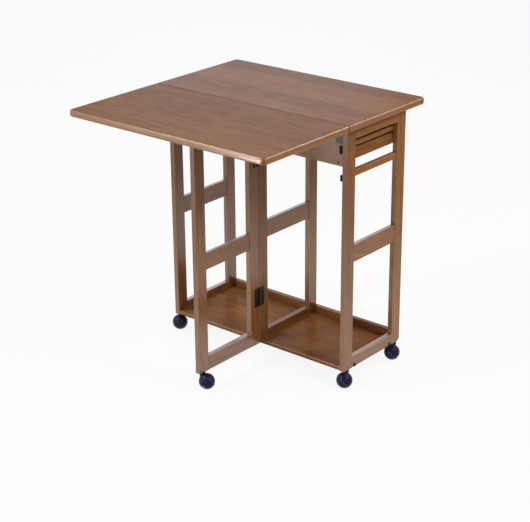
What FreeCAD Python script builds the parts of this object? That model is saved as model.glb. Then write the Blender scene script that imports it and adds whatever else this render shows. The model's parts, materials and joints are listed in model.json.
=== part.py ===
import FreeCAD, Part
import os
from FreeCAD import Rotation, Vector

# Drop-leaf kitchen table on casters. Millimetres, origin on the floor under the middle of
# the raised top, +X to the drawer end, +Y to the back, +Z up.

# Top
top_width = 739.0
top_depth = 751.0
table_height = 833.0
top_thick = 21.0
leaf_depth = 371.0
seam_gap = 1.0
top_corner_radius = 14.0
top_edge_radius = 6.0
seam_edge_radius = 2.5

# Frames: flat posts with rails tenoned between them
front_overhang = 24.0
back_overhang = 65.0
end_overhang = 24.5
middle_frame_x = 8.0
post_thick = 17.0
post_wide = 41.0
post_foot_radius = 14.0
board_ease = 1.5
rail_thick = 13.0
tenon_length = 14.0
tenon_thick = 7.0
tenon_shoulder = 5.0
joint_clearance = 0.1
top_rail_tall = 36.0
mid_rail_tall = 56.0
mid_rail_drop = 360.0
bottom_rail_tall = 36.0
towel_bar_tall = 20.0
towel_bar_thick = 14.0
towel_bar_drop = 130.0
towel_bar_inset = 2.0

# Aprons and base
apron_thick = 15.0
apron_tall = 114.0
apron_setback = 2.0
end_strip_tall = 15.0
end_strip_drop = 50.0
base_rail_thick = 15.0
shelf_thick = 12.0
shelf_back_gap = 2.0
shelf_front_setback = 2.0

# Swing gate
gate_end_room = 31.5
gate_gap = 1.5
gate_head_room = 12.0
gate_top_rail_tall = 30.0
gate_mid_rail_drop = 370.0
gate_mid_rail_tall = 52.0
gate_bottom_rail_tall = 46.0

# Rest block under the leaf, with the strip that stops the gate
rest_gap = 0.3
rest_block_length = 36.0
gate_stop_thick = 14.0
gate_stop_drop = 12.0
gate_stop_gap = 0.5

# Hinges
pin_radius = 1.5
pin_clearance = 0.06
knuckle_radius = 3.0
knuckle_gap = 0.3
flap_thick = 1.5
flap_wide = 22.0
flap_neck = 3.8
pin_drop = 3.2
middle_knuckle_share = 0.36
leaf_hinge_length = 50.0
leaf_hinge_inset = 99.5
gate_hinge_length = 60.0
gate_hinge_rise = 159.0
gate_hinge_drop = 31.0

# Magnetic catch that holds the folded gate, and the plate it pulls
catch_length = 35.0
catch_tall = 14.0
catch_gap = 0.5
strike_wide = 24.0
strike_tall = 18.0
strike_thick = 1.0
strike_below_top = 15.0

# Brackets from the front apron to the top, and black buffers beside the right front post
bracket_wide = 24.0
bracket_drop = 47.0
bracket_reach = 20.0
bracket_thick = 2.0
buffer_thick = 7.0
buffer_wide = 10.0
buffer_tall = 18.0
buffer_drop = 140.0
pad_wide = 8.0
pad_tall = 24.0
pad_thick = 3.0
pad_drop = 52.0
pad_from_post = 2.0

# Drawer, hung on runners in grooves along its sides
drawer_back_room = 39.5
drawer_tall = 35.5
drawer_gap = 1.0
drawer_recess = 2.0
drawer_wall = 12.0
drawer_front_thick = 15.0
drawer_floor_thick = 4.0
drawer_floor_rise = 3.0
drawer_drop_gap = 5.0
groove_deep = 6.0
groove_tall = 10.6
groove_front_land = 7.0
runner_tall = 10.0
runner_rise = 12.5
runner_play = 0.5
runner_back_land = 4.0

# Shelf bolts
bolt_radius = 3.0
bolt_head_radius = 6.0
bolt_head_thick = 2.5
bolt_length = 42.0
bolt_socket_radius = 2.3
bolt_socket_deep = 1.6
bolt_socket_sides = 6
bolt_from_post = 13.0

# Casters: one half of a ball is the wheel, on a sloping axle, and the other half is the hood
caster_height = 52.0
ball_radius = 25.0
ball_split_gap = 1.0
wheel_tilt = 40.0
wheel_edge_ease = 1.0
hub_face = 22.0
hub_recess = 1.2
hub_rim = 1.6
axle_radius = 3.0
axle_clearance = 0.06
axle_reach = 12.0
axle_end_gap = 0.5
hood_radius = 24.5
hood_clearance = 0.6
trail = 18.0
corner_heading = -154.0
gate_heading = -90.0
neck_radius = 8.5
neck_base = 30.0
neck_ease = 3.0
flange_radius = 10.0
flange_base = 44.0
flange_top = 50.0
stem_radius = 3.5
stem_clearance = 0.06
stem_foot = 34.0
stem_collar_radius = 7.5
stem_collar_gap = 0.3
stem_shank_radius = 4.0
stem_shank_length = 32.0

# Cutting tools run past the faces they cut
overrun = 1.0

# Working places
along_x = Vector(1, 0, 0)
along_y = Vector(0, 1, 0)
along_z = Vector(0, 0, 1)
parallel_tolerance = 1e-6
full_turn = 360.0
quarter_turn = 90.0
underside = table_height - top_thick
top_right = top_width / 2
top_back = top_depth / 2
leaf_front = -top_back
leaf_back = leaf_front + leaf_depth
seam_front = leaf_back + seam_gap
seam_middle = leaf_back + seam_gap / 2
frame_front = seam_front + front_overhang
frame_back = top_back - back_overhang
frame_width = top_width - 2 * end_overhang
frame_bottom = caster_height
frame_y = (frame_front, frame_back)
frame_z = (frame_bottom, underside)
rail_front = frame_front + post_wide
rail_back = frame_back - post_wide
front_post_y = frame_front + post_wide / 2
back_post_y = frame_back - post_wide / 2
end_middle = (frame_width - post_thick) / 2
end_inside = frame_width / 2 - post_thick
middle_left = middle_frame_x - post_thick / 2
middle_right = middle_frame_x + post_thick / 2
mid_rail_top = underside - mid_rail_drop
towel_bar_top = underside - towel_bar_drop
apron_bottom = underside - apron_tall
apron_front = frame_front + apron_setback
apron_inner = apron_front + apron_thick
back_apron_back = frame_back - apron_setback
back_apron_inner = back_apron_back - apron_thick
base_rail_inner = back_apron_back - base_rail_thick
gate_length = end_inside - middle_right - gate_end_room
gate_back = frame_front - gate_gap
gate_front = gate_back - gate_length
gate_top = underside - gate_head_room
gate_mid_rail_top = gate_top - gate_mid_rail_drop
gate_pin_x = middle_right + pin_drop
gate_pin_y = frame_front - gate_gap / 2
leaf_hinge_pitch = top_right - leaf_hinge_inset
gate_hinge_heights = (frame_bottom + gate_hinge_rise, apron_bottom - gate_hinge_drop)
buffer_top = underside - buffer_drop
pad_top = underside - pad_drop
strip_top = underside - end_strip_drop
strip_bottom = strip_top - end_strip_tall
drawer_top = strip_bottom - drawer_drop_gap
drawer_bottom = drawer_top - drawer_tall
drawer_front_x = end_inside - drawer_recess
drawer_back_x = middle_right + drawer_back_room
drawer_near = rail_front + drawer_gap
drawer_far = rail_back - drawer_gap


def span_box(x, y, z):
    """A block between a pair of limits on each axis."""
    low = Vector(x[0], y[0], z[0])
    return Part.makeBox(x[1] - x[0], y[1] - y[0], z[1] - z[0], low)


def around(middle, size):
    """A pair of limits about a middle."""
    return (middle - size / 2, middle + size / 2)


def edges_along(solid, axis):
    """The straight edges of a solid that run along an axis."""
    chosen = []
    for edge in solid.Edges:
        straight = isinstance(edge.Curve, Part.Line)
        if straight and edge.Curve.Direction.cross(axis).Length < parallel_tolerance:
            chosen.append(edge)
    return chosen


def board(x, y, z, axis):
    """A board with its long arrises eased."""
    block = span_box(x, y, z)
    return block.makeFillet(board_ease, edges_along(block, axis))


def rod(radius, start, length, axis):
    """A round rod from a point along an axis."""
    return Part.makeCylinder(radius, length, start, axis)


def lies_at_y(edge, y):
    """Whether an edge lies wholly at one y."""
    box = edge.BoundBox
    return box.YLength < parallel_tolerance and abs(box.YMin - y) < parallel_tolerance


def top_board(y_seam, y_outer):
    """Half of the top: two rounded corners, rounded outer edges, and a square, eased seam edge."""
    side = 1 if y_outer > y_seam else -1
    y_turn = y_outer - side * top_corner_radius
    x_turn = top_right - top_corner_radius
    bulge = top_corner_radius * Vector(1, 1, 0).normalize().x
    seam_left = Vector(-top_right, y_seam, underside)
    seam_right = Vector(top_right, y_seam, underside)
    right_turn = Vector(top_right, y_turn, underside)
    right_round = Vector(x_turn + bulge, y_turn + side * bulge, underside)
    right_end = Vector(x_turn, y_outer, underside)
    left_end = Vector(-x_turn, y_outer, underside)
    left_round = Vector(-x_turn - bulge, y_turn + side * bulge, underside)
    left_turn = Vector(-top_right, y_turn, underside)
    edges = [
        Part.LineSegment(seam_left, seam_right), Part.LineSegment(seam_right, right_turn),
        Part.Arc(right_turn, right_round, right_end), Part.LineSegment(right_end, left_end),
        Part.Arc(left_end, left_round, left_turn), Part.LineSegment(left_turn, seam_left),
    ]
    outline = Part.Wire([edge.toShape() for edge in edges])
    slab = Part.Face(outline).extrude(Vector(0, 0, top_thick))
    rim = [edge for edge in slab.Edges
           if edge.BoundBox.ZLength < parallel_tolerance and not lies_at_y(edge, y_seam)]
    slab = slab.makeFillet(top_edge_radius, rim)
    seam = [edge for edge in slab.Edges if lies_at_y(edge, y_seam)]
    return slab.makeFillet(seam_edge_radius, seam)


def post(x_middle, y, z, foot_y):
    """An upright, with its foot rounded on the side at foot_y."""
    block = span_box(around(x_middle, post_thick), y, z)
    if foot_y is not None:
        foot = [edge for edge in edges_along(block, along_x)
                if abs(edge.BoundBox.YMin - foot_y) < parallel_tolerance
                and abs(edge.BoundBox.ZMin - z[0]) < parallel_tolerance]
        block = block.makeFillet(post_foot_radius, foot)
    return block.makeFillet(board_ease, edges_along(block, along_z))


def rail(x_middle, y, z, thick):
    """A rail between two posts, with a stub tenon on each end."""
    body = board(around(x_middle, thick), y, z, along_y)
    tenon = span_box(around(x_middle, tenon_thick), (y[0] - tenon_length, y[1] + tenon_length),
                     (z[0] + tenon_shoulder, z[1] - tenon_shoulder))
    return body.fuse(tenon).removeSplitter()


def mortise(x_middle, y, z):
    """The room that a rail's two tenons need in their posts."""
    reach = tenon_length + joint_clearance
    return span_box(around(x_middle, tenon_thick + 2 * joint_clearance), (y[0] - reach, y[1] + reach),
                    (z[0] + tenon_shoulder - joint_clearance, z[1] - tenon_shoulder + joint_clearance))


def ladder_frame(x_middle, y, z, rails, rounded_foot):
    """Two posts and the rails between them, as named solids. A rail is (low, high, thickness, inset).

    With rounded_foot the back post's foot is rounded at the back.
    """
    inner = (y[0] + post_wide, y[1] - post_wide)
    front = post(x_middle, (y[0], inner[0]), z, None)
    back = post(x_middle, (inner[1], y[1]), z, y[1] if rounded_foot else None)
    pieces = {}
    for name, (low, high, thick, inset) in rails.items():
        pieces[name] = rail(x_middle - inset, inner, (low, high), thick)
        room = mortise(x_middle - inset, inner, (low, high))
        front = front.cut(room)
        back = back.cut(room)
    pieces["front_post"] = front
    pieces["back_post"] = back
    return pieces


def end_rails():
    """The rails that every standing frame has."""
    return {
        "top_rail": (underside - top_rail_tall, underside, post_thick, 0),
        "mid_rail": (mid_rail_top - mid_rail_tall, mid_rail_top, rail_thick, 0),
        "bottom_rail": (frame_bottom, frame_bottom + bottom_rail_tall, post_thick, 0),
    }


def stem_bore(x, y):
    """The hole for a caster's shank in the foot of a post."""
    mouth = Vector(x, y, frame_bottom - overrun)
    return rod(stem_shank_radius, mouth, stem_shank_length + 2 * overrun, along_z)


def end_frame(side):
    """An end frame. The right one also carries the towel bar."""
    rails = end_rails()
    if side > 0:
        bar_bottom = towel_bar_top - towel_bar_tall
        rails["towel_bar"] = (bar_bottom, towel_bar_top, towel_bar_thick, towel_bar_inset)
    frame = ladder_frame(side * end_middle, frame_y, frame_z, rails, True)
    for name, y in (("front_post", front_post_y), ("back_post", back_post_y)):
        frame[name] = frame[name].cut(stem_bore(side * end_middle, y))
    for y in bolt_places():
        frame["bottom_rail"] = frame["bottom_rail"].cut(bolt_hole(side, y))
    return frame


def middle_frame():
    """The frame between the bays, its posts notched over the long aprons and the base rail."""
    frame = ladder_frame(middle_frame_x, frame_y, frame_z, end_rails(), False)
    across = (middle_left - overrun, middle_right + overrun)
    head = (apron_bottom, underside + overrun)
    foot = (frame_bottom - overrun, frame_bottom + bottom_rail_tall)
    front_room = span_box(across, (frame_front - overrun, apron_inner), head)
    back_room = span_box(across, (back_apron_inner, frame_back + overrun), head)
    base_room = span_box(across, (base_rail_inner, frame_back + overrun), foot)
    frame["front_post"] = frame["front_post"].cut(front_room)
    frame["back_post"] = frame["back_post"].cut(back_room).cut(base_room)
    return frame


def aprons():
    """The boards that close the frame under the top."""
    ends = (-end_inside, end_inside)
    across = (apron_inner, back_apron_inner)
    tall = (apron_bottom, underside)
    strip = (strip_bottom, strip_top)
    return {
        "front_apron": board(ends, (apron_front, apron_inner), tall, along_x),
        "back_apron": board(ends, (back_apron_inner, back_apron_back), tall, along_x),
        "right_end_apron": board((end_inside - apron_thick, end_inside), across, strip, along_y),
        "left_end_apron": board((-end_inside, -end_inside + apron_thick), across, tall, along_y),
    }


def bolt_places():
    """Where the two shelf bolts cross each end's bottom rail."""
    return (rail_front + bolt_from_post, rail_back - bolt_from_post)


def bolt_hole(side, y):
    """The hole for a shelf bolt through an end rail into the shelf."""
    start = Vector(side * (frame_width / 2 + overrun), y, frame_bottom + shelf_thick / 2)
    return rod(bolt_radius, start, bolt_length + overrun, along_x * -side)


def bolt_socket():
    """The key socket of a bolt's head, as a prism from the origin along the X axis."""
    step = full_turn / bolt_socket_sides
    corners = [Rotation(along_x, i * step).multVec(Vector(0, 0, bolt_socket_radius))
               for i in range(bolt_socket_sides)]
    return Part.Face(Part.makePolygon(corners + corners[:1])).extrude(along_x * (bolt_socket_deep + overrun))


def shelf_bolt(side, y):
    """A bolt with a low round socket head outside the end rail."""
    seat = Vector(side * frame_width / 2, y, frame_bottom + shelf_thick / 2)
    head = rod(bolt_head_radius, seat, bolt_head_thick, along_x * side)
    rim = max(head.Edges, key=lambda edge: abs(edge.CenterOfMass.x))
    head = head.makeFillet(bolt_head_thick / 2, [rim])
    bolt = head.fuse(rod(bolt_radius, seat, bolt_length, along_x * -side)).removeSplitter()
    floor = seat + along_x * side * (bolt_head_thick - bolt_socket_deep)
    turn = Rotation() if side > 0 else Rotation(along_z, full_turn / 2)
    return bolt.cut(placed(bolt_socket(), floor, turn))


def base():
    """The two low shelf panels, the rail behind them and the bolts that hold the panels."""
    y = (frame_front + shelf_front_setback, base_rail_inner - shelf_back_gap)
    z = (frame_bottom, frame_bottom + shelf_thick)
    right = board((middle_right, end_inside), y, z, along_x)
    left = board((-end_inside, middle_left), y, z, along_x)
    for place in bolt_places():
        right = right.cut(bolt_hole(1, place))
        left = left.cut(bolt_hole(-1, place))
    back = board((-end_inside, end_inside), (base_rail_inner, back_apron_back),
                 (frame_bottom, frame_bottom + bottom_rail_tall), along_x)
    bolts = Part.makeCompound([shelf_bolt(side, place) for side in (-1, 1) for place in bolt_places()])
    return {
        "right_shelf_panel": right, "left_shelf_panel": left,
        "back_base_rail": back, "shelf_bolts": bolts,
    }


def hinge_flap(length, spans, side, bore):
    """A hinge flap: a plate, and knuckles rolled round the X axis on the given spans."""
    plate_z = (pin_drop - flap_thick, pin_drop)
    plate_y = sorted((side * flap_neck, side * flap_wide))
    flap = span_box(around(0, length), plate_y, plate_z)
    for span in spans:
        flap = flap.fuse(span_box(span, sorted((0, side * flap_neck)), plate_z))
        flap = flap.fuse(rod(knuckle_radius, Vector(span[0], 0, 0), span[1] - span[0], along_x))
    flap = flap.cut(rod(bore, Vector(-length, 0, 0), 2 * length, along_x))
    return flap.removeSplitter()


def hinge(length):
    """A butt hinge about the X axis: still flap on +Y, moving flap on -Y, and the pin."""
    half = length / 2
    middle = length * middle_knuckle_share / 2
    ends = ((-half, -middle - knuckle_gap), (middle + knuckle_gap, half))
    still = hinge_flap(length, ends, 1, pin_radius)
    moving = hinge_flap(length, ((-middle, middle),), -1, pin_radius + pin_clearance)
    pin = rod(pin_radius, Vector(-half, 0, 0), length, along_x)
    return still, moving, pin


def placed(shape, place, rotation):
    """A copy of a shape, turned about the origin and then moved."""
    copy = shape.copy()
    copy.Placement = FreeCAD.Placement(place, rotation)
    return copy


def hinge_set(length, places, rotation):
    """Still flaps, moving flaps and pins of one line of hinges, each as one group."""
    parts = hinge(length)
    return [Part.makeCompound([placed(part, place, rotation) for place in places]) for part in parts]


def hinges():
    """The leaf's hinges under the seam, and the gate's hinges on the middle frame."""
    leaf_line = (-leaf_hinge_pitch, 0, leaf_hinge_pitch)
    leaf_places = [Vector(x, seam_middle, underside - pin_drop) for x in leaf_line]
    gate_places = [Vector(gate_pin_x, gate_pin_y, z) for z in gate_hinge_heights]
    leaf = hinge_set(leaf_hinge_length, leaf_places, Rotation())
    gate = hinge_set(gate_hinge_length, gate_places, Rotation(along_y, -quarter_turn))
    return {
        "leaf_hinge_top_flaps": leaf[0], "leaf_hinge_leaf_flaps": leaf[1], "leaf_hinge_pins": leaf[2],
        "gate_hinge_frame_flaps": gate[0], "gate_hinge_gate_flaps": gate[1], "gate_hinge_pins": gate[2],
    }


def gate():
    """The swing gate, standing straight out from the middle frame."""
    rails = {
        "top_rail": (gate_top - gate_top_rail_tall, gate_top, post_thick, 0),
        "mid_rail": (gate_mid_rail_top - gate_mid_rail_tall, gate_mid_rail_top, rail_thick, 0),
        "bottom_rail": (frame_bottom, frame_bottom + gate_bottom_rail_tall, post_thick, 0),
    }
    frame = ladder_frame(middle_frame_x, (gate_front, gate_back), (frame_bottom, gate_top), rails, False)
    outer = gate_front + post_wide / 2
    plate = span_box((middle_right - strike_thick, middle_right), around(outer, strike_wide),
                     around(gate_top - strike_below_top, strike_tall))
    frame["front_post"] = frame["front_post"].cut(stem_bore(middle_frame_x, outer)).cut(plate)
    return {
        "gate_outer_post": frame["front_post"], "gate_hinge_post": frame["back_post"],
        "gate_top_rail": frame["top_rail"], "gate_mid_rail": frame["mid_rail"],
        "gate_bottom_rail": frame["bottom_rail"], "gate_strike_plate": plate,
    }


def gate_hardware():
    """The leaf's rest block and gate stop, the apron's catch, the brackets and the buffers."""
    outer = gate_front + post_wide / 2
    rest_bottom = gate_top + rest_gap
    stop_right = middle_left - gate_stop_gap
    block = span_box((stop_right - gate_stop_thick, middle_right), around(outer, rest_block_length),
                     (rest_bottom, underside))
    stop = span_box((stop_right - gate_stop_thick, stop_right), around(outer, rest_block_length),
                    (rest_bottom - gate_stop_drop, rest_bottom))
    folded_back = gate_pin_y - pin_drop
    catch_x = gate_pin_x + gate_pin_y - outer
    catch = board(around(catch_x, catch_length), (folded_back + catch_gap, apron_front),
                  around(gate_top - strike_below_top, catch_tall), along_y)
    brackets = []
    for side in (-1, 1):
        x = sorted((side * end_inside, side * (end_inside - bracket_wide)))
        down = span_box(x, (apron_front - bracket_thick, apron_front),
                        (underside - bracket_drop, underside))
        out = span_box(x, (apron_front - bracket_reach, apron_front),
                       (underside - bracket_thick, underside))
        brackets.append(down.fuse(out).removeSplitter())
    buffer = board((end_inside - buffer_thick, end_inside), (frame_front, frame_front + buffer_wide),
                   (buffer_top - buffer_tall, buffer_top), along_x)
    pad_right = end_inside - pad_from_post
    pad = board((pad_right - pad_wide, pad_right), (apron_front - pad_thick, apron_front),
                (pad_top - pad_tall, pad_top), along_y)
    return {
        "leaf_rest_block": block, "gate_stop_strip": stop, "gate_catch": catch,
        "top_brackets": Part.makeCompound(brackets), "post_buffers": Part.makeCompound([buffer, pad]),
    }


def drawer():
    """The shallow drawer and the runners on the long aprons that hold it by its side grooves."""
    back_of_front = drawer_front_x - drawer_front_thick
    z = (drawer_bottom, drawer_top)
    front = board((back_of_front, drawer_front_x), (drawer_near, drawer_far), z, along_y)
    groove_low = drawer_bottom + runner_rise
    groove_end = back_of_front - groove_front_land
    runner_z = around(groove_low + groove_tall / 2, runner_tall)
    sides = []
    runners = []
    for outer, wall, apron in ((drawer_near, 1, apron_inner), (drawer_far, -1, back_apron_inner)):
        inner = outer + wall * drawer_wall
        panel = span_box((drawer_back_x, back_of_front), sorted((outer, inner)), z)
        cut_y = sorted((outer - wall * overrun, outer + wall * groove_deep))
        sides.append(panel.cut(span_box((drawer_back_x - overrun, groove_end), cut_y,
                                        (groove_low, groove_low + groove_tall))))
        tip = outer + wall * (groove_deep - runner_play)
        runners.append(span_box((drawer_back_x + runner_back_land, groove_end - runner_play),
                                sorted((apron, tip)), runner_z))
    inside = (drawer_near + drawer_wall, drawer_far - drawer_wall)
    floor_z = (drawer_bottom + drawer_floor_rise, drawer_bottom + drawer_floor_rise + drawer_floor_thick)
    floor = span_box((drawer_back_x + drawer_wall, back_of_front), inside, floor_z)
    back = span_box((drawer_back_x, drawer_back_x + drawer_wall), inside, z)
    return {
        "drawer_front": front, "drawer_sides": Part.makeCompound(sides), "drawer_back": back,
        "drawer_floor": floor, "drawer_runners": Part.makeCompound(runners),
    }


def ball_at(x):
    """The ball's radius where a plane across the X axis cuts it."""
    return (ball_radius ** 2 - x ** 2) ** 0.5


def caster_wheels():
    """The wheel half of the ball with its hub face and its axle, about the X axis."""
    rim = ball_split_gap / 2
    eased = rim + wheel_edge_ease
    hub_floor = hub_face - hub_recess
    hub_radius = ball_at(hub_face) - hub_rim
    first = [Vector(-axle_reach, 0, 0), Vector(-axle_reach, 0, axle_radius), Vector(rim, 0, axle_radius)]
    first.append(Vector(rim, 0, ball_at(rim) - wheel_edge_ease))
    first.append(Vector(eased, 0, ball_at(eased)))
    last = [Vector(hub_face, 0, ball_at(hub_face)), Vector(hub_face, 0, hub_radius)]
    last.append(Vector(hub_floor, 0, hub_radius - hub_recess))
    last.append(Vector(hub_floor, 0, 0))
    side = (eased + hub_face) / 2
    edges = [Part.LineSegment(a, b) for a, b in zip(first, first[1:])]
    edges.append(Part.Arc(first[-1], Vector(side, 0, ball_at(side)), last[0]))
    edges.extend(Part.LineSegment(a, b) for a, b in zip(last, last[1:]))
    edges.append(Part.LineSegment(last[-1], first[0]))
    section = Part.Face(Part.Wire([edge.toShape() for edge in edges]))
    return section.revolve(Vector(0, 0, 0), along_x, full_turn)


def caster_hood():
    """The hood half of the ball, the neck beside it and the flange under the post."""
    middle = Vector(0, trail, ball_radius)
    tilt = Rotation(along_y, wheel_tilt)
    ball = Part.makeSphere(hood_radius, middle)
    neck = rod(neck_radius, Vector(0, 0, neck_base), flange_base - neck_base, along_z)
    foot = min(neck.Edges, key=lambda edge: edge.CenterOfMass.z)
    neck = neck.makeFillet(neck_ease, [foot])
    flange = rod(flange_radius, Vector(0, 0, flange_base), flange_top - flange_base, along_z)
    hood = ball.fuse([neck, flange]).removeSplitter()
    room = ball_radius + hood_clearance
    past = (-room - overrun, room + overrun)
    wheel_room = Part.makeSphere(room).common(span_box((-ball_split_gap / 2, past[1]), past, past))
    bore_length = axle_reach + axle_end_gap
    bore = rod(axle_radius + axle_clearance, Vector(-bore_length, 0, 0), bore_length, along_x)
    hood = hood.cut(placed(wheel_room, middle, tilt)).cut(placed(bore, middle, tilt))
    socket = rod(stem_radius + stem_clearance, Vector(0, 0, stem_foot - overrun), flange_top, along_z)
    return hood.cut(socket)


def caster_stem():
    """The stem that the hood turns on, its collar, and the shank that goes up into the post."""
    stem = rod(stem_radius, Vector(0, 0, stem_foot), frame_bottom - stem_foot, along_z)
    collar_base = flange_top + stem_collar_gap
    collar = rod(stem_collar_radius, Vector(0, 0, collar_base), frame_bottom - collar_base, along_z)
    shank = rod(stem_shank_radius, Vector(0, 0, frame_bottom), stem_shank_length, along_z)
    return stem.fuse([collar, shank]).removeSplitter()


def casters():
    """One caster under each corner post, and one under the gate's outer post."""
    places = {
        "right_front": Vector(end_middle, front_post_y, 0),
        "right_back": Vector(end_middle, back_post_y, 0),
        "left_front": Vector(-end_middle, front_post_y, 0),
        "left_back": Vector(-end_middle, back_post_y, 0),
        "gate": Vector(middle_frame_x, gate_front + post_wide / 2, 0),
    }
    pieces = {}
    stems = []
    for name, place in places.items():
        turn = Rotation(along_z, gate_heading if name == "gate" else corner_heading)
        to_ball = turn.multVec(Vector(0, trail, ball_radius))
        slope = turn.multiply(Rotation(along_y, wheel_tilt))
        pieces[name + "_caster_hood"] = placed(caster_hood(), place, turn)
        pieces[name + "_caster_wheels"] = placed(caster_wheels(), place + to_ball, slope)
        stem = placed(caster_stem(), place, Rotation())
        if name == "gate":
            pieces["gate_caster_stem"] = stem
        else:
            stems.append(stem)
    pieces["caster_stems"] = Part.makeCompound(stems)
    return pieces


def table():
    """Every piece of the table by name."""
    pieces = {
        "fixed_top": top_board(seam_front, top_back),
        "drop_leaf": top_board(leaf_back, leaf_front),
    }
    for prefix, frame in (("right", end_frame(1)), ("left", end_frame(-1)), ("middle", middle_frame())):
        for name, solid in frame.items():
            pieces[prefix + "_" + name] = solid
    for group in (aprons(), base(), hinges(), gate(), gate_hardware(), drawer(), casters()):
        pieces.update(group)
    return pieces


os.makedirs("parts", exist_ok=True)
for node, shape in table().items():
    shape.exportStep("parts/" + node + ".step")
    print(node, len(shape.Solids), round(shape.Volume), shape.isValid())
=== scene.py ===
import json

import bmesh
import bpy
import numpy as np
from mathutils import Matrix, Vector


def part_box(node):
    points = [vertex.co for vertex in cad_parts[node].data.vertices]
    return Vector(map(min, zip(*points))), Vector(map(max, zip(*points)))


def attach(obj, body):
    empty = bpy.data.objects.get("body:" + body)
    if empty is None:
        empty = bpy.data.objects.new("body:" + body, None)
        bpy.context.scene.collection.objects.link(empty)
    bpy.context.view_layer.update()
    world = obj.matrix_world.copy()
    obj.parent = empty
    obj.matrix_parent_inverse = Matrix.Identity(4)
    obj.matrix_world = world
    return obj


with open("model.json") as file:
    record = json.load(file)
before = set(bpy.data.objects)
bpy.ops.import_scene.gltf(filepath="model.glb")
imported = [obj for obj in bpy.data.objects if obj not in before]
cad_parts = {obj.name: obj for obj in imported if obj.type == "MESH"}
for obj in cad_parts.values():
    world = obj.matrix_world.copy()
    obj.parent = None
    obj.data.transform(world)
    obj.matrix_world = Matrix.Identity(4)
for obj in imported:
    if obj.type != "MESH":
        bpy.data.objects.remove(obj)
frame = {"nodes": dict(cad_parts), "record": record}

scene = bpy.context.scene
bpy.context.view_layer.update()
nodes = frame["nodes"]
print("frame loaded:", len(nodes), "nodes")


# helpers for shader nodes
def wire(tree, node, links):
    # a node's inputs from pairs of a socket and either another node's output or a fixed value
    for socket, source in links:
        if isinstance(source, bpy.types.NodeSocket):
            tree.links.new(source, node.inputs[socket])
        else:
            node.inputs[socket].default_value = source


def put(tree, kind, links=(), **values):
    # one new node: its properties from values, then its inputs from links
    node = tree.nodes.new(kind)
    for key, value in values.items():
        setattr(node, key, value)
    wire(tree, node, links)
    return node


def mathOf(tree, operation, a, b=0.0, c=0.0):
    return put(tree, "ShaderNodeMath", ((0, a), (1, b), (2, c)), operation=operation).outputs[0]


def times(tree, a, b):
    return mathOf(tree, "MULTIPLY", a, b)


def flip(tree, value):
    return mathOf(tree, "SUBTRACT", 1.0, value)


def vectorOf(tree, operation, a, b=(0, 0, 0)):
    return put(tree, "ShaderNodeVectorMath", ((0, a), (1, b)), operation=operation).outputs[0]


def partsOf(tree, vector):
    return put(tree, "ShaderNodeSeparateXYZ", ((0, vector),)).outputs


def remap(tree, value, low, high, toLow=0.0, toHigh=1.0, step="SMOOTHSTEP"):
    links = (("Value", value), ("From Min", low), ("From Max", high), ("To Min", toLow), ("To Max", toHigh))
    return put(tree, "ShaderNodeMapRange", links, interpolation_type=step).outputs["Result"]


def blendColour(tree, factor, a, b):
    links = (("Factor", factor), ("A", a), ("B", b))
    return put(tree, "ShaderNodeMix", links, data_type="RGBA").outputs["Result"]


def noiseOf(tree, vector, scale, detail, rough):
    links = (("Vector", vector), ("Scale", scale), ("Detail", detail), ("Roughness", rough))
    return put(tree, "ShaderNodeTexNoise", links).outputs["Fac"]


def bumpOf(tree, strength, depth, height):
    links = (("Strength", strength), ("Distance", depth), ("Height", height))
    return put(tree, "ShaderNodeBump", links).outputs[0]


def groupOf(tree, group, links):
    return put(tree, "ShaderNodeGroup", links, node_tree=group).outputs


def newGroup(name, inputs, outputs):
    group = bpy.data.node_groups.new(name, "ShaderNodeTree")
    for label, kind, value in inputs:
        socket = group.interface.new_socket(name=label, in_out="INPUT", socket_type=kind)
        socket.default_value = value
    for label in outputs:
        group.interface.new_socket(name=label, in_out="OUTPUT", socket_type="NodeSocketFloat")
    return group, group.nodes.new("NodeGroupInput").outputs, group.nodes.new("NodeGroupOutput")


def newMaterial(name):
    mat = bpy.data.materials.new(name)
    mat.use_nodes = True
    tree = mat.node_tree
    place = put(tree, "ShaderNodeTexCoord").outputs["Object"]
    return mat, tree, tree.nodes["Principled BSDF"], place


# view and light
view = {
    "place": (2.6279, -3.0894, 1.9974), "yaw": -39.767, "pitch": 22.324, "roll": -0.435,
    "focal": 1430.8, "imageWide": 530, "sensor": 36.0, "farEnd": 60.0,
}
light = {
    "worldDiffuse": 0.35, "worldSeen": 0.985, "worldColour": (0.93, 0.96, 1.0, 1), "white": (1, 1, 1, 1),
    "spread": 180.0,  # of a lamp that names none
    "lamps": {
        "keyLamp": {"place": (-1.9, -2.9, 2.9), "aim": (0, 0, 0.5), "size": 0.8, "power": 46.0,
                    "colour": (1.0, 0.97, 0.93)},
        "lowLamp": {"place": (-1.9, -2.75, 0.36), "aim": (0.1, 0, 0.6), "size": 0.9, "power": 21.0,
                    "colour": (1.0, 0.97, 0.97)},
        "sideLamp": {"place": (2.3, 0.1, 2.5), "aim": (0.3, 0.1, 0.5), "size": 0.8, "power": 37.0,
                     "colour": (1.0, 0.84, 0.56)},
        "backLamp": {"place": (1.45, 2.75, 2.95), "aim": (0.2, 0.0, 0.8), "size": 0.9, "power": 26.0,
                     "colour": (1.0, 0.99, 0.98)},
        "edgeLamp": {"place": (-1.8, -1.6, 3.1), "aim": (0.3, -0.37, 0.83), "size": 0.6, "power": 24.0,
                     "colour": (1.0, 0.96, 0.96)},
        "veilLamp": {"place": (-3.3, 3.82, 2.12), "aim": (-0.1, 0.1, 0.83), "size": 2.1, "power": 20.0,
                     "colour": (0.62, 0.80, 1.0)},
        "cornerLamp": {"place": (-0.83, -1.93, 0.15), "aim": (0.34, -0.42, 0.80), "size": 0.20,
                       "power": 0.045, "colour": (1.0, 0.95, 0.95), "spread": 12.0},
    },
}
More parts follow.
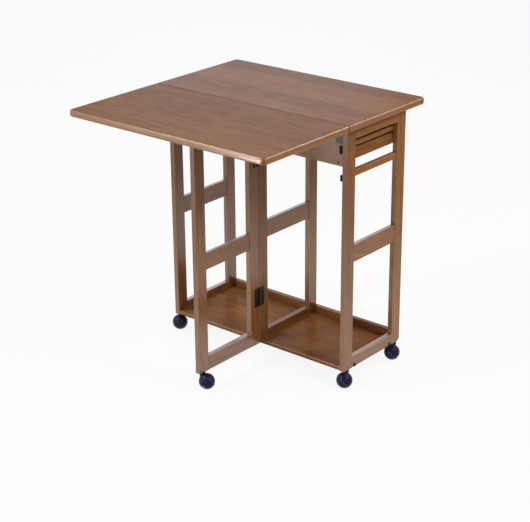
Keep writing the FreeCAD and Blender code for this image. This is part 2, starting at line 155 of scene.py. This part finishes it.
floor = {
    "half": 9.0, "dip": 0.0004, "colour": (0.95, 0.95, 0.955, 1), "rough": 0.9, "specular": 0.1,
    "cameraGlow": 0.90, "fallFrom": 0.70, "fallTo": 2.1, "farGlow": 0.12,
}


def lookAxes(yaw, pitch, roll):
    # forward = (sin y cos p, cos y cos p, -sin p) and right is level; right and up then turn by roll
    # about forward
    y, p, r = np.radians((yaw, pitch, roll))
    forward = np.array((np.sin(y) * np.cos(p), np.cos(y) * np.cos(p), -np.sin(p)))
    level = np.array((np.cos(y), -np.sin(y), 0.0))
    rise = np.cross(level, forward)
    return np.cos(r) * level + np.sin(r) * rise, np.cos(r) * rise - np.sin(r) * level, forward


def makeCamera():
    data = bpy.data.cameras.new("photoView")
    data.sensor_width = view["sensor"]
    data.lens = view["focal"] * view["sensor"] / view["imageWide"]
    data.clip_end = view["farEnd"]
    camera = bpy.data.objects.new("photoView", data)
    right, up, forward = lookAxes(view["yaw"], view["pitch"], view["roll"])
    turn = Matrix((right, up, -forward)).transposed()
    camera.matrix_world = Matrix.Translation(view["place"]) @ turn.to_4x4()
    scene.collection.objects.link(camera)
    scene.camera = camera


def softLamp(name, lamp):
    data = bpy.data.lights.new(name, "AREA")
    data.shape = "DISK"
    data.size = lamp["size"]
    data.energy = lamp["power"]
    data.color = lamp["colour"]
    data.spread = np.radians(lamp.get("spread", light["spread"]))
    obj = bpy.data.objects.new(name, data)
    aim = Vector(lamp["aim"]) - Vector(lamp["place"])
    turn = aim.to_track_quat("-Z", "Y").to_matrix()
    obj.matrix_world = Matrix.Translation(lamp["place"]) @ turn.to_4x4()
    scene.collection.objects.link(obj)


def whiteRays(tree, cameraShare):
    # camera rays, and a mask of the rays that see white: mirror and glass rays 1, camera rays their share
    path = put(tree, "ShaderNodeLightPath").outputs
    eye = path["Is Camera Ray"]
    seen = mathOf(tree, "MAXIMUM", times(tree, eye, cameraShare), path["Is Glossy Ray"])
    return eye, mathOf(tree, "MAXIMUM", seen, path["Is Transmission Ray"])


def litWorld():
    # camera, mirror and glass rays see plain white; other rays get the softer, cooler light
    world = bpy.data.worlds.new("studio")
    world.use_nodes = True
    scene.world = world
    tree = world.node_tree
    tree.nodes.clear()
    _, seen = whiteRays(tree, 1.0)
    strength = remap(tree, seen, 0.0, 1.0, light["worldDiffuse"], light["worldSeen"], "LINEAR")
    tint = blendColour(tree, seen, light["worldColour"], light["white"])
    glow = put(tree, "ShaderNodeBackground", (("Color", tint), ("Strength", strength)))
    put(tree, "ShaderNodeOutputWorld", (("Surface", glow.outputs[0]),))


def paleFloor():
    # a level square a hair under z = 0; camera rays see most of it as plain white, so its shadow stays
    # faint, and mirror rays see it bright round the table and dimmer further out
    half = floor["half"]
    corners = [(x * half, y * half, -floor["dip"]) for x, y in ((-1, -1), (1, -1), (1, 1), (-1, 1))]
    mesh = bpy.data.meshes.new("floor")
    mesh.from_pydata(corners, [], [(0, 1, 2, 3)])
    obj = bpy.data.objects.new("floor", mesh)
    scene.collection.objects.link(obj)
    mat, tree, bsdf, place = newMaterial("paleFloor")
    wire(tree, bsdf, (("Base Color", floor["colour"]), ("Roughness", floor["rough"]),
                      ("Specular IOR Level", floor["specular"])))
    away = put(tree, "ShaderNodeVectorMath", ((0, place),), operation="LENGTH").outputs["Value"]
    pool = remap(tree, away, floor["fallFrom"], floor["fallTo"], 1.0, floor["farGlow"], "LINEAR")
    eye, seen = whiteRays(tree, floor["cameraGlow"])
    glow = put(tree, "ShaderNodeEmission", (("Strength", mathOf(tree, "MAXIMUM", pool, eye)),))
    mix = put(tree, "ShaderNodeMixShader", ((0, seen), (1, bsdf.outputs[0]), (2, glow.outputs[0])))
    wire(tree, tree.nodes["Material Output"], (("Surface", mix.outputs[0]),))
    mesh.materials.append(mat)


makeCamera()
litWorld()
for lampName, lampSpec in light["lamps"].items():
    softLamp(lampName, lampSpec)
paleFloor()
scene.view_settings.view_transform = "Standard"
print("view and light set")


# shared shader groups, with the values that shape their patterns
grainFigure = {
    "drift": (1.7, 0.31, 0.53),  # how far a seed of 1 moves the pattern, in metres
    "slow": {"scale": (3.4, 13.0, 13.0), "detail": 3.0, "rough": 0.55, "weight": 0.38},
    "cloud": {"scale": (17.0, 40.0, 40.0), "detail": 5.0, "rough": 0.6, "weight": 0.54},
    "fibre": {"scale": (5.0, 190.0, 190.0), "detail": 3.0, "rough": 0.6, "weight": 0.16},
    "speck": {"scale": (34.0, 900.0, 900.0), "detail": 2.0, "rough": 0.5},
    "bands": {"scale": (1.9, 24.0, 24.0), "waves": 1.1, "bend": 9.0, "detail": 3.0, "detailScale": 0.9,
              "rough": 0.6, "weight": 0.12},
    "poreCut": (0.60, 0.72),
}
arrisRub = {"noise": 55.0, "detail": 4.0, "rough": 0.65, "raggedSpan": 1.3, "raggedLeast": 0.35,
            "sideCut": (0.0010, 0.0040)}
mouldedRub = {"grainDetail": 2.0, "grainRough": 0.5, "patchDetail": 4.0, "patchRough": 0.65,
              "rubCut": (0.48, 0.72)}


def buildFigure():
    # wood figure with the grain along X: slow tone, wavy growth bands, clouds, fibres and short dark pores
    group, given, out = newGroup("woodFigure", (
        ("Vector", "NodeSocketVector", (0, 0, 0)), ("Seed", "NodeSocketFloat", 0.0),
    ), ("Tone", "Fibre", "Pore"))
    steps = [times(group, given["Seed"], step) for step in grainFigure["drift"]]
    drift = put(group, "ShaderNodeCombineXYZ", zip("XYZ", steps)).outputs[0]
    place = vectorOf(group, "ADD", given["Vector"], drift)

    def layer(name):
        spec = grainFigure[name]
        stretched = vectorOf(group, "MULTIPLY", place, spec["scale"])
        return noiseOf(group, stretched, 1.0, spec["detail"], spec["rough"])

    wave = grainFigure["bands"]
    bands = put(group, "ShaderNodeTexWave", (
        ("Vector", vectorOf(group, "MULTIPLY", place, wave["scale"])), ("Scale", wave["waves"]),
        ("Distortion", wave["bend"]), ("Detail", wave["detail"]), ("Detail Scale", wave["detailScale"]),
        ("Detail Roughness", wave["rough"])), wave_type="BANDS", bands_direction="DIAGONAL").outputs["Fac"]
    fibre = layer("fibre")
    tone = times(group, bands, wave["weight"])
    for name, share in (("slow", layer("slow")), ("cloud", layer("cloud")), ("fibre", fibre)):
        tone = mathOf(group, "MULTIPLY_ADD", share, grainFigure[name]["weight"], tone)
    poreAndShade = remap(group, layer("speck"), *grainFigure["poreCut"])
    wire(group, out, (("Tone", tone), ("Fibre", fibre), ("Pore", poreAndShade)))
    return group


def buildStrips():
    # strips glued edge to edge across Y: each gets its own number, and a thin dark line lies on every joint
    group, given, out = newGroup("gluedStrips", (
        ("Vector", "NodeSocketVector", (0, 0, 0)), ("Width", "NodeSocketFloat", 0.06),
        ("Line", "NodeSocketFloat", 0.0004), ("Start", "NodeSocketFloat", 0.0),
    ), ("Number", "Joint"))
    fromStart = mathOf(group, "SUBTRACT", partsOf(group, given["Vector"])["Y"], given["Start"])
    across = mathOf(group, "DIVIDE", fromStart, given["Width"])
    index = mathOf(group, "FLOOR", across)
    number = put(group, "ShaderNodeTexWhiteNoise", (("W", index),), noise_dimensions="1D").outputs["Value"]
    fromMiddle = mathOf(group, "ABSOLUTE", mathOf(group, "SUBTRACT", mathOf(group, "FRACT", across), 0.5))
    fromJoint = times(group, mathOf(group, "SUBTRACT", 0.5, fromMiddle), given["Width"])
    joint = flip(group, remap(group, fromJoint, 0.0, given["Line"]))
    wire(group, out, (("Number", number), ("Joint", joint)))
    return group


def buildArris():
    # wear: nearness to a block's arrises, from the middle one of the three distances to its faces, roughened
    # by noise; side: 1 on the upright faces round a board that lies flat
    group, given, out = newGroup("arrisWear", (
        ("Vector", "NodeSocketVector", (0, 0, 0)), ("Low", "NodeSocketVector", (0, 0, 0)),
        ("High", "NodeSocketVector", (1, 1, 1)), ("Width", "NodeSocketFloat", 0.004),
    ), ("Wear", "Side"))
    place = given["Vector"]
    fromLow = vectorOf(group, "SUBTRACT", place, given["Low"])
    fromHigh = vectorOf(group, "SUBTRACT", given["High"], place)
    near = partsOf(group, vectorOf(group, "MINIMUM", fromLow, fromHigh))
    lower = mathOf(group, "MINIMUM", near["X"], near["Y"])
    upper = mathOf(group, "MINIMUM", mathOf(group, "MAXIMUM", near["X"], near["Y"]), near["Z"])
    middle = mathOf(group, "MAXIMUM", lower, upper)
    noise = noiseOf(group, place, arrisRub["noise"], arrisRub["detail"], arrisRub["rough"])
    ragged = mathOf(group, "MULTIPLY_ADD", noise, arrisRub["raggedSpan"], arrisRub["raggedLeast"])
    wear = flip(group, remap(group, middle, 0.0, times(group, given["Width"], ragged)))
    side = flip(group, remap(group, lower, *arrisRub["sideCut"]))
    wire(group, out, (("Wear", wear), ("Side", side)))
    return group


def buildMoulded():
    # moulded plastic or plated metal: a fine even grain and a few soft rubbed patches
    group, given, out = newGroup("mouldedGrain", (
        ("Vector", "NodeSocketVector", (0, 0, 0)), ("Grain", "NodeSocketFloat", 900.0),
        ("Patch", "NodeSocketFloat", 40.0),
    ), ("Grain", "Rub"))
    place = given["Vector"]
    fine = noiseOf(group, place, given["Grain"], mouldedRub["grainDetail"], mouldedRub["grainRough"])
    patch = noiseOf(group, place, given["Patch"], mouldedRub["patchDetail"], mouldedRub["patchRough"])
    wire(group, out, (("Grain", fine), ("Rub", remap(group, patch, *mouldedRub["rubCut"]))))
    return group


figureGroup = buildFigure()
stripGroup = buildStrips()
arrisGroup = buildArris()
mouldedGroup = buildMoulded()
print("shader groups built")


# wood: what all boards share, then what each board has of its own
wood = {
    "dark": (0.142, 0.056, 0.019, 1), "middle": (0.228, 0.096, 0.030, 1), "light": (0.315, 0.144, 0.052, 1),
    # the first colour here darkens pores, joint lines and the painted shade lines; the second lightens
    # rubbed arrises and, as a painted highlight, the tops' upright edge faces
    "poreAndShade": (0.075, 0.027, 0.010, 1), "wornAndHighlight": (0.36, 0.185, 0.090, 1),
    "darkCut": (0.29, 0.65), "lightCut": (0.58, 0.96),  # tones where dark turns to middle, middle to light
    "threadCut": (0.28, 0.62), "threadShare": 0.30, "poreShare": 0.36,
    "wornShare": 0.30, "wearWide": 0.0030,
    "roughCut": (0.2, 0.9), "rough": (0.46, 0.36), "specular": 0.0,
    "bump": 0.12, "bumpDepth": 0.0004, "poreSunk": -0.8, "jointSunk": -1.0,
    "coat": 0.85, "arrisCoat": 0.9, "coatRough": 0.26, "coatIor": 1.9,
    "edgeCoat": 0.50, "edgeHighlight": 0.5,  # on the upright faces of the fixed top and the leaf; the second paints them lighter, a painted highlight
    # the seam line between the fixed top and the leaf is painted shade, as if shaded inside the gap
    "seamWide": 0.0026, "seamShade": 0.85,
    "lineCore": 0.4,  # the share of a painted shade line's width that is fully dark
    "seedStart": 1.0, "seedStep": 0.37, "stripSeed": 9.0, "toneSwing": 0.07, "toneStep": 2.4,
}
topStrips = {"wide": 0.0735, "line": 0.0006, "toneSpread": 0.24, "lineShade": 0.36}
shelfStrips = {"wide": 0.0535, "line": 0.0005, "toneSpread": 0.16, "lineShade": 0.40, "start": 0.0}
# a board's shade lifts or lowers its stain's tone. The shades given for the boards below the tops are
# painted light: they lift boards towards how bright light makes them, most of all the front apron in the
# leaf's shade; the tops' shades set their own tone, and a board with none gets the small even spread below
boards = {
    "fixed_top": {"grain": "x", "shade": -0.03, "coat": 0.19, "arrisCoat": 0.7, "wearWide": 0.0055,
                  "strips": dict(topStrips, start=-0.0035),
                  "seamReach": ((0, -0.05, 0), (0, 0, 0))},  # its box runs past the seam: no wear there
    "drop_leaf": {"grain": "x", "shade": 0.02, "coat": 0.15, "arrisCoat": 1.0, "wearWide": 0.0055,
                  "strips": dict(topStrips, start=-0.0045),
                  "seamReach": ((0, 0, 0), (0, 0.05, 0))},
    "left_shelf_panel": {"grain": "x", "coat": 0.07, "strips": shelfStrips},
    "right_shelf_panel": {"grain": "x", "coat": 0.07, "strips": shelfStrips},
    "front_apron": {"grain": "x", "shade": 0.46, "coat": 0.90},
    "back_base_rail": {"grain": "x", "coat": 0.3, "arrisCoat": 0.4},
    "drawer_front": {"grain": "y", "shade": 0.06, "coat": 0.3, "arrisCoat": 0.3,
                     "paintedShadeWide": 0.0030, "paintedShadeShare": 0.85},  # painted shade along its top edge, where the strip above shades it
    "right_end_apron": {"grain": "y", "shade": 0.16, "coat": 0.3, "arrisCoat": 0.3},
    "right_towel_bar": {"grain": "y", "shade": 0.28, "coat": 0.35, "arrisCoat": 0.35},
    "right_top_rail": {"grain": "y", "shade": 0.30, "coat": 0.5},
    "right_mid_rail": {"grain": "y", "shade": 0.16},
    "middle_bottom_rail": {"grain": "y", "coat": 0.3, "arrisCoat": 0.4},
    "right_front_post": {"grain": "z", "shade": 0.05, "coat": 0.75},
    "right_back_post": {"grain": "z", "shade": 0.24, "coat": 0.60},
    "middle_front_post": {"grain": "z", "shade": 0.02, "coat": 0.55},
    "gate_outer_post": {"grain": "z", "shade": 0.05},
}
plainBoards = {
    "x": ("back_apron", "drawer_sides", "drawer_floor", "drawer_runners", "leaf_rest_block"),
    "y": ("left_end_apron", "left_top_rail", "left_mid_rail", "left_bottom_rail", "middle_top_rail",
          "middle_mid_rail", "right_bottom_rail", "gate_top_rail", "gate_mid_rail", "gate_bottom_rail",
          "gate_stop_strip", "drawer_back"),
    "z": ("left_front_post", "left_back_post", "middle_back_post", "gate_hinge_post"),
}
for grain, names in plainBoards.items():
    for name in names:
        boards[name] = {"grain": grain}
grainTurn = {"x": (0, 0, 0), "y": (0, 0, -np.pi / 2), "z": (0, np.pi / 2, 0)}
seamPlace = float(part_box("fixed_top")[0][1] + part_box("drop_leaf")[1][1]) / 2


def paintedShadeLine(tree, body, apart, wide, share):
    # painted shade: a body colour darkened near a line, fully within lineCore of the width, then fading out
    # to the width
    dusk = flip(tree, remap(tree, apart, wood["lineCore"] * wide, wide))
    return blendColour(tree, times(tree, dusk, share), body, wood["poreAndShade"])


def stainedWood(node, board, seed, shade):
    # one stained board: grain turned to run along it, arrises rubbed lighter, strips where it is glued up
    mat, tree, bsdf, place = newMaterial("stainedWood_" + node)
    own = dict(wood, **board)
    strips = board.get("strips")
    turn = grainTurn[own["grain"]]
    turned = put(tree, "ShaderNodeMapping", (("Vector", place), ("Rotation", turn))).outputs[0]
    if strips:
        cut = groupOf(tree, stripGroup, (("Vector", turned), ("Width", strips["wide"]),
                                         ("Line", strips["line"]), ("Start", strips["start"])))
        spread = strips["toneSpread"]
        seed = mathOf(tree, "MULTIPLY_ADD", cut["Number"], own["stripSeed"], seed)
        shade = mathOf(tree, "MULTIPLY_ADD", cut["Number"], spread, shade - spread / 2)
    figure = groupOf(tree, figureGroup, (("Vector", turned), ("Seed", seed)))
    tone = mathOf(tree, "ADD", figure["Tone"], shade)
    height = mathOf(tree, "MULTIPLY_ADD", figure["Pore"], own["poreSunk"], figure["Fibre"])

    # stain, fibres and pores
    body = blendColour(tree, remap(tree, tone, *own["darkCut"]), own["dark"], own["middle"])
    body = blendColour(tree, remap(tree, tone, *own["lightCut"]), body, own["light"])
    threads = flip(tree, remap(tree, figure["Fibre"], *own["threadCut"]))
    body = blendColour(tree, times(tree, threads, own["threadShare"]), body, own["dark"])
    body = blendColour(tree, times(tree, figure["Pore"], own["poreShare"]), body, own["poreAndShade"])

    # rubbed arrises, the tops' edge faces lightened as a painted highlight, painted shade along the seam and
    # under the drawer front's top edge, joint lines
    low, high = np.array(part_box(node)) + np.array(board.get("seamReach", np.zeros((2, 3))))
    rub = groupOf(tree, arrisGroup, (("Vector", place), ("Low", tuple(low)), ("High", tuple(high)),
                                     ("Width", own["wearWide"])))
    body = blendColour(tree, times(tree, rub["Wear"], own["wornShare"]), body, own["wornAndHighlight"])
    gloss = own["coat"]  # a plain number where the arrises shine no more than the faces
    if own["arrisCoat"] != own["coat"]:
        gloss = remap(tree, rub["Wear"], 0.0, 1.0, own["coat"], own["arrisCoat"])
    if "seamReach" in board:
        gloss = mathOf(tree, "MAXIMUM", gloss, times(tree, rub["Side"], own["edgeCoat"]))
        # painted highlight: the tops' upright edge faces lightened to the colour of the rubbed arrises
        body = blendColour(tree, times(tree, rub["Side"], own["edgeHighlight"]), body, own["wornAndHighlight"])
        # painted shade: the tops darkened along the seam, as if shaded inside the gap between them
        fromSeam = mathOf(tree, "ABSOLUTE", mathOf(tree, "SUBTRACT", partsOf(tree, place)["Y"], seamPlace))
        body = paintedShadeLine(tree, body, fromSeam, own["seamWide"], own["seamShade"])
    # painted shade: the drawer front darkened just under its top edge, where the strip above shades it
    if "paintedShadeWide" in board:
        below = mathOf(tree, "SUBTRACT", float(high[2]), partsOf(tree, place)["Z"])
        body = paintedShadeLine(tree, body, below, own["paintedShadeWide"], own["paintedShadeShare"])
    if strips:
        body = blendColour(tree, times(tree, cut["Joint"], strips["lineShade"]), body, own["poreAndShade"])
        height = mathOf(tree, "MULTIPLY_ADD", cut["Joint"], own["jointSunk"], height)

    wire(tree, bsdf, (
        ("Base Color", body), ("Roughness", remap(tree, tone, *own["roughCut"], *own["rough"])),
        ("Coat Weight", gloss), ("Normal", bumpOf(tree, own["bump"], own["bumpDepth"], height)),
        ("Specular IOR Level", own["specular"]), ("Coat Roughness", own["coatRough"]),
        ("Coat IOR", own["coatIor"])))
    return mat


def dress(node, mat):
    obj = nodes[node]
    if obj.material_slots:
        for slot in obj.material_slots:
            slot.material = mat
    else:
        obj.data.materials.append(mat)


for count, name in enumerate(sorted(boards)):
    swing = wood["toneSwing"] * np.sin(wood["toneStep"] * count)  # small even spread from board to board
    # a shade given in boards replaces the spread; below the tops it is painted light
    shade = boards[name].get("shade", swing)
    dress(name, stainedWood(name, boards[name], wood["seedStart"] + wood["seedStep"] * count, shade))
print("wood dressed:", len(boards), "boards")


# metal and plastic
steel = {"clean": (0.16, 0.155, 0.158, 1), "rubbed": (0.10, 0.096, 0.098, 1), "rough": (0.38, 0.55),
         "metal": 1.0, "specular": 0.5, "grain": 1100.0, "patch": 90.0, "bump": 0.06, "bumpDepth": 0.0002}
bronze = dict(steel, clean=(0.060, 0.048, 0.040, 1), rubbed=(0.038, 0.031, 0.027, 1))
plate = dict(steel, clean=(0.180, 0.152, 0.146, 1), rubbed=(0.140, 0.118, 0.113, 1), rough=(0.55, 0.7),
             metal=0.35, specular=0.2)
plastic = {"clean": (0.009, 0.010, 0.040, 1), "rubbed": (0.017, 0.019, 0.058, 1), "rough": (0.26, 0.40),
           "metal": 0.0, "specular": 0.13, "grain": 1500.0, "patch": 60.0, "bump": 0.10,
           "bumpDepth": 0.00025}
# the hood lips' plastic, far lighter than the hoods': a painted highlight along the split between hood and
# wheel
lipHighlight = dict(plastic, clean=(0.110, 0.115, 0.175, 1), rubbed=(0.140, 0.148, 0.210, 1),
                rough=(0.16, 0.28), specular=0.5)
matt = dict(plastic, clean=(0.0060, 0.0065, 0.012, 1), rubbed=(0.010, 0.011, 0.018, 1),
            rough=(0.5, 0.65), specular=0.10)
roughMix = {"grainShare": 0.6, "rubShare": 0.4, "cut": (0.15, 0.85)}


def speckled(name, finish):
    # metal or plastic: patches of its rubbed colour, and a fine grain in the roughness and the bump
    mat, tree, bsdf, place = newMaterial(name)
    speck = groupOf(tree, mouldedGroup, (("Vector", place), ("Grain", finish["grain"]),
                                         ("Patch", finish["patch"])))
    rubPart = times(tree, speck["Rub"], roughMix["rubShare"])
    rough = mathOf(tree, "MULTIPLY_ADD", speck["Grain"], roughMix["grainShare"], rubPart)
    wire(tree, bsdf, (
        ("Base Color", blendColour(tree, speck["Rub"], finish["clean"], finish["rubbed"])),
        ("Roughness", remap(tree, rough, *roughMix["cut"], *finish["rough"])),
        ("Normal", bumpOf(tree, finish["bump"], finish["bumpDepth"], speck["Grain"])),
        ("Metallic", finish["metal"]), ("Specular IOR Level", finish["specular"])))
    return mat


platedSteel = speckled("platedSteel", steel)
bronzedSteel = speckled("bronzedSteel", bronze)
greyPlate = speckled("greyPlate", plate)
blackPlastic = speckled("blackPlastic", plastic)
lipHighlightPlastic = speckled("lipHighlightPlastic", lipHighlight)
mattPlastic = speckled("mattPlastic", matt)

casterNames = ("right_front", "right_back", "left_front", "left_back", "gate")
fittings = (
    (platedSteel, ("caster_stems", "gate_caster_stem", "gate_strike_plate")),
    (bronzedSteel, ("shelf_bolts", "leaf_hinge_top_flaps", "leaf_hinge_leaf_flaps", "leaf_hinge_pins",
                    "gate_hinge_frame_flaps", "gate_hinge_gate_flaps", "gate_hinge_pins")),
    (greyPlate, ("top_brackets",)),
    (mattPlastic, ("gate_catch", "post_buffers")),
    (blackPlastic, [name + "_caster_" + half for name in casterNames for half in ("hood", "wheels")]),
)
for mat, names in fittings:
    for name in names:
        dress(name, mat)
print("metal and plastic dressed:", sum(len(names) for _, names in fittings), "nodes")


# helpers for new pieces
meshFinish = {"mergeWithin": 1e-6, "sharpAngle": 0.6}
nearlyAlong = 0.9  # a normal with this much of Y in it takes its side axis from X


def closedSlab(top, bottom):
    # two grids of the same size: the top's faces, the bottom's turned over, and a rim between their borders
    rows, cols = top.shape[:2]
    index = np.arange(rows * cols).reshape(rows, cols)
    quads = np.stack((index[:-1, :-1], index[1:, :-1], index[1:, 1:], index[:-1, 1:]), -1).reshape(-1, 4)
    border = np.concatenate((index[0, :-1], index[:-1, -1], index[-1, :0:-1], index[:0:-1, 0]))
    after = np.roll(border, -1)
    rim = np.stack((border, after, after + rows * cols, border + rows * cols), 1)
    points = np.concatenate((top.reshape(-1, 3), bottom.reshape(-1, 3)))
    return points, [quads, quads[:, ::-1] + rows * cols, rim]


def axesAbout(normal, twist=0.0):
    # right-handed x and y axes across a normal, turned about it by twist
    n = np.array(normal, float)
    side = np.cross((0.0, 1.0, 0.0) if abs(n[1]) < nearlyAlong else (1.0, 0.0, 0.0), n)
    side /= np.linalg.norm(side)
    other = np.cross(n, side)
    x = np.cos(twist) * side + np.sin(twist) * other
    y = np.cos(twist) * other - np.sin(twist) * side
    return np.array((x, y, n))


def addPiece(name, parts, body, mat):
    # joins pairs of points and face sets into one mesh at the origin, riding on a body
    starts = np.cumsum([0] + [len(points) for points, _ in parts[:-1]])
    faces = []
    for (_, faceSets), start in zip(parts, starts):
        for faceSet in faceSets:
            faces.extend((faceSet + start).tolist())
    mesh = bpy.data.meshes.new(name)
    mesh.from_pydata(np.concatenate([points for points, _ in parts]).tolist(), [], faces)
    work = bmesh.new()
    work.from_mesh(mesh)
    bmesh.ops.remove_doubles(work, verts=work.verts, dist=meshFinish["mergeWithin"])
    bmesh.ops.recalc_face_normals(work, faces=work.faces)
    work.to_mesh(mesh)
    work.free()
    mesh.polygons.foreach_set("use_smooth", np.ones(len(mesh.polygons), bool))
    mesh.set_sharp_from_angle(angle=meshFinish["sharpAngle"])
    mesh.materials.append(mat)
    obj = bpy.data.objects.new(name, mesh)
    scene.collection.objects.link(obj)
    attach(obj, body)


# screws
screw = {"radius": 0.0031, "dome": 0.0007, "rim": 1.0, "recess": 0.0006, "arm": 0.26, "reach": 0.62,
         "sunk": 0.0003, "grid": 17, "twistStart": 0.3, "twistStep": 0.9}
smallScrew = dict(screw, radius=0.0025)
flatScrew = dict(smallScrew, dome=0.0003, rim=0.3, recess=0.00026)  # clears the catch with the gate folded


def crossScrew(place, normal, twist, head):
    # the unit square bent to a disc (x = u sqrt(1 - v v / 2), y = v sqrt(1 - u u / 2)); its height is a low
    # dome or a flat head with a sloped rim, less a cross-shaped recess
    line = np.linspace(-1, 1, head["grid"])
    u, v = np.meshgrid(line, line, indexing="ij")
    x = u * np.sqrt(1 - v * v / 2)
    y = v * np.sqrt(1 - u * u / 2)
    out2 = x * x + y * y  # squared distance from the middle
    arm = np.minimum(np.abs(x), np.abs(y)) < head["arm"] / 2
    cross = arm * (out2 < head["reach"] ** 2)
    high = head["dome"] * np.minimum(1, (1 - out2) / head["rim"]) - head["recess"] * cross
    r = head["radius"]
    axes = axesAbout(normal, twist)
    top = np.stack((x * r, y * r, high), -1) @ axes + np.array(place)
    bottom = np.stack((x * r, y * r, np.full_like(x, -head["sunk"])), -1) @ axes + np.array(place)
    return closedSlab(top, bottom)


def screwSet(name, places, normal, body, mat, head=screw):
    twists = head["twistStart"] + head["twistStep"] * np.arange(len(places))
    parts = [crossScrew(place, normal, twist, head) for place, twist in zip(places, twists)]
    addPiece(name, parts, body, mat)


flap = {"thick": 0.0015, "middleOut": 0.003}  # the middle screw of three stands further from the pin
leafHinge = {"xs": (-0.270, 0.0, 0.270), "y": -0.004, "along": (-0.017, 0.0, 0.017), "across": 0.013}
gateHinge = {"inset": 0.030, "y": 0.01975, "along": (-0.021, 0.0, 0.021), "across": 0.0135}


def besidePin(hinge, side, along):
    # the y of a screw on one side of a hinge's pin
    return hinge["y"] + side * (hinge["across"] + (flap["middleOut"] if along == 0 else 0.0))


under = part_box("leaf_hinge_top_flaps")[1][2] - flap["thick"]  # the leaf hinges' lower faces
for name, side, body in (("topFlapScrews", 1, "frame"), ("leafFlapScrews", -1, "leaf")):
    places = [(x + a, besidePin(leafHinge, side, a), under)
              for x in leafHinge["xs"] for a in leafHinge["along"]]
    screwSet(name, places, (0, 0, -1), body, bronzedSteel)

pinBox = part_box("gate_hinge_pins")
gateZs = (pinBox[0][2] + gateHinge["inset"], pinBox[1][2] - gateHinge["inset"])
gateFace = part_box("gate_hinge_post")[1][0] + flap["thick"]  # the gate hinges' outer faces
for name, side, body in (("gateFrameScrews", 1, "frame"), ("gateFlapScrews", -1, "gate")):
    places = [(gateFace, besidePin(gateHinge, side, a), z + a)
              for z in gateZs for a in gateHinge["along"]]
    screwSet(name, places, (1, 0, 0), body, bronzedSteel)

bracket = {"x": 0.316, "zs": (0.775, 0.794), "wide": 0.0115, "thick": 0.002}
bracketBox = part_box("top_brackets")
legFace = bracketBox[1][1] - bracket["thick"]
places = [(end * bracket["x"], legFace, z) for end in (-1, 1) for z in bracket["zs"]]
screwSet("bracketLegScrews", places, (0, -1, 0), "frame", platedSteel, smallScrew)
topY = bracketBox[0][1] + bracket["wide"] / 2
topFace = bracketBox[1][2] - bracket["thick"]
places = [(end * bracket["x"], topY, topFace) for end in (-1, 1)]
screwSet("bracketTopScrews", places, (0, 0, -1), "frame", platedSteel, smallScrew)

apron = {"x": 0.3115, "z": 0.708}
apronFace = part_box("front_apron")[0][1]
places = [(end * apron["x"], apronFace, apron["z"]) for end in (-1, 1)]
screwSet("apronScrews", places, (0, -1, 0), "frame", mattPlastic)

strike = {"fromMiddle": 0.005}
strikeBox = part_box("gate_strike_plate")
strikeMiddle = (strikeBox[0] + strikeBox[1]) / 2
places = [(strikeBox[1][0], strikeMiddle[1], strikeMiddle[2] + end * strike["fromMiddle"])
          for end in (-1, 1)]
screwSet("strikeScrews", places, (1, 0, 0), "gate", platedSteel, flatScrew)
print("screws made")


# caps on the casters' hubs, and lips on their hoods whose lighter plastic is a painted highlight
hub = {"face": 0.0208, "radius": 0.0052, "high": 0.0009, "lip": 0.00025, "sunk": 0.0004, "rings": 7,
       "around": 40}


def hubCap(centre, axle):
    # rings about the axle: r = R s, height = lip + (high - lip) (1 - s^2)^0.5, closed by a flat back
    s = np.linspace(0.0, 1.0, hub["rings"])[1:]
    turn = np.linspace(0, 2 * np.pi, hub["around"], endpoint=False)
    dome = hub["lip"] + (hub["high"] - hub["lip"]) * np.sqrt(1 - s * s)
    r = np.concatenate((s, s[-1:]))[:, None] * hub["radius"]
    h = np.concatenate((dome, [-hub["sunk"]]))[:, None]
    rings = np.stack((r * np.cos(turn), r * np.sin(turn), h + 0 * turn), -1).reshape(-1, 3)
    points = np.concatenate((rings, [(0, 0, hub["high"]), (0, 0, -hub["sunk"])]))
    rows = len(r)
    n = hub["around"]
    index = np.arange(rows * n).reshape(rows, n)
    after = np.roll(index, -1, axis=1)
    sides = np.stack((index[:-1], index[1:], after[1:], after[:-1]), -1).reshape(-1, 4)
    front = np.stack((np.full(n, rows * n), index[0], after[0]), -1)
    back = np.stack((np.full(n, rows * n + 1), after[-1], index[-1]), -1)
    axes = axesAbout(axle)
    return points @ axes + centre + axes[2] * hub["face"], [sides, front, back]


lip = {"round": 0.02445, "bead": 0.00055, "back": 0.0015, "around": 96, "section": 12}


def hoodLip(centre, axle):
    # a bead carried round the hood's open edge: r = round + bead cos s, along the axle = bead sin s - back
    turn = np.linspace(0, 2 * np.pi, lip["around"], endpoint=False)[:, None]
    s = np.linspace(0, 2 * np.pi, lip["section"], endpoint=False)
    r = lip["round"] + lip["bead"] * np.cos(s)
    h = lip["bead"] * np.sin(s) - lip["back"]
    ring = np.stack((r * np.cos(turn), r * np.sin(turn), h + 0 * turn), -1).reshape(-1, 3)
    index = np.arange(lip["around"] * lip["section"]).reshape(lip["around"], lip["section"])
    after = np.roll(index, -1, axis=0)
    beside = np.roll(index, -1, axis=1)
    quads = np.stack((index, after, np.roll(after, -1, axis=1), beside), -1).reshape(-1, 4)
    return ring @ axesAbout(axle) + centre, [quads]


joints = {joint["name"]: joint for joint in frame["record"]["behaviour"]["joints"]}
for name in casterNames:
    roll = joints[name + "_roll"]
    centre = np.array(roll["pos_m"])
    axle = np.array(roll["axis"])
    addPiece(name + "HubCap", [hubCap(centre, axle)], name + "_caster_roller", platedSteel)
    addPiece(name + "HoodLip", [hoodLip(centre, axle)], name + "_caster_swivel", lipHighlightPlastic)
print("hub caps and hood lips made")
